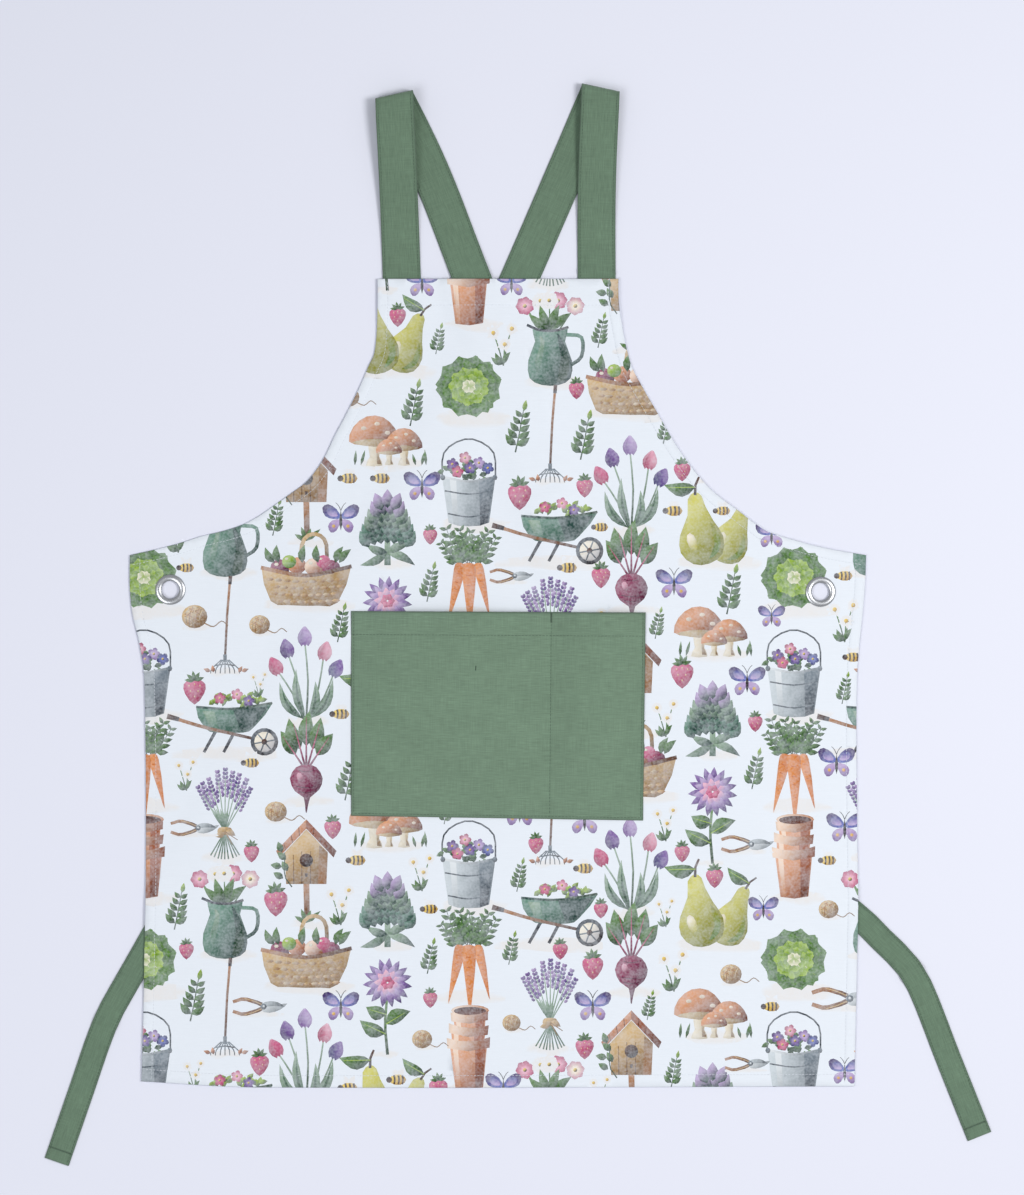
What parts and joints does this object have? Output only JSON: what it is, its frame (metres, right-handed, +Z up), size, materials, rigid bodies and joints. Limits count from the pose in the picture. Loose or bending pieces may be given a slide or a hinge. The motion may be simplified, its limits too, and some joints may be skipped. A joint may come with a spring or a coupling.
{
  "type": "gardening apron",
  "caption": "Cotton garden apron laid flat: printed body with bib, divided front pocket, shoulder straps that cross behind it, narrow waist ties and side eyelets.",
  "frame": {"origin": "middle of the underside of the whole apron's box, on the surface that it lies on", "axes": "+Z up from the surface to the printed face, +Y towards the neck, +X to the right of someone who looks at the printed face"},
  "size_m": [0.9322, 1.0654, 0.0108],
  "materials": {
    "printed_cotton": "matt printed cotton",
    "green_cotton": "matt sage green cotton",
    "eyelet_metal": "satin nickel plate"
  },
  "bodies": {
    "root": {"body_panel": "printed_cotton", "pocket": "green_cotton", "shoulder_strap_left": "green_cotton", "shoulder_strap_right": "green_cotton", "waist_tie_left": "green_cotton", "waist_tie_right": "green_cotton", "eyelet_left": "eyelet_metal", "eyelet_right": "eyelet_metal"}
  },
  "joints": []
}
